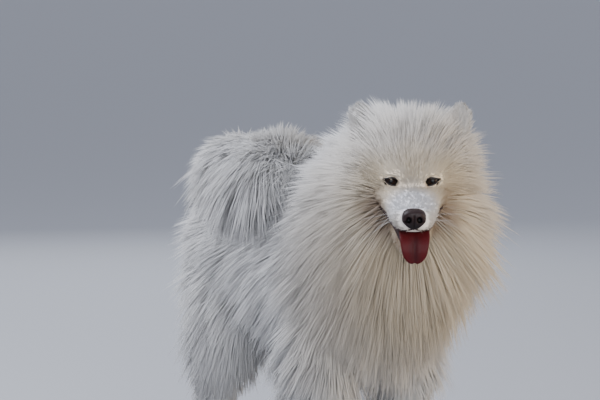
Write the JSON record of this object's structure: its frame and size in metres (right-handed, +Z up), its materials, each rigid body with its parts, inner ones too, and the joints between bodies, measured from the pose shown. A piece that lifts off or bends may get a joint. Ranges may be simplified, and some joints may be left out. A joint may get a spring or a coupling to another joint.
{
  "type": "samoyed",
  "caption": "Standing spitz dog with a deep white double coat, ruff and plumed tail over its back, head turned to its right, mouth open and tongue out.",
  "frame": {"origin": "middle of the footprint of the whole dog, on the floor", "axes": "+Z up, the body faces -Y, the dog's left side is at +X, and its head is turned 32 degrees to its right"},
  "size_m": [0.3844, 0.8416, 0.7559],
  "materials": {
    "coat": "long white fur, slightly cool in shade, cream at the face and chest",
    "nose_leather": "moist brown-black leather",
    "tongue": "wet pink skin",
    "eye": "wet, dark brown"
  },
  "bodies": {
    "root": {"eye_left": "eye", "eye_right": "eye", "nose": "nose_leather", "ear_left": "coat", "ear_right": "coat", "head": "coat", "tongue": "tongue", "lower_jaw": "coat", "neck": "coat", "tail_root": "coat", "tail_end": "coat", "torso": "coat", "forepaw_left": "coat", "hindpaw_left": "coat", "foreleg_left": "coat", "hindleg_left": "coat", "forepaw_right": "coat", "hindpaw_right": "coat", "foreleg_right": "coat", "hindleg_right": "coat"}
  },
  "joints": []
}
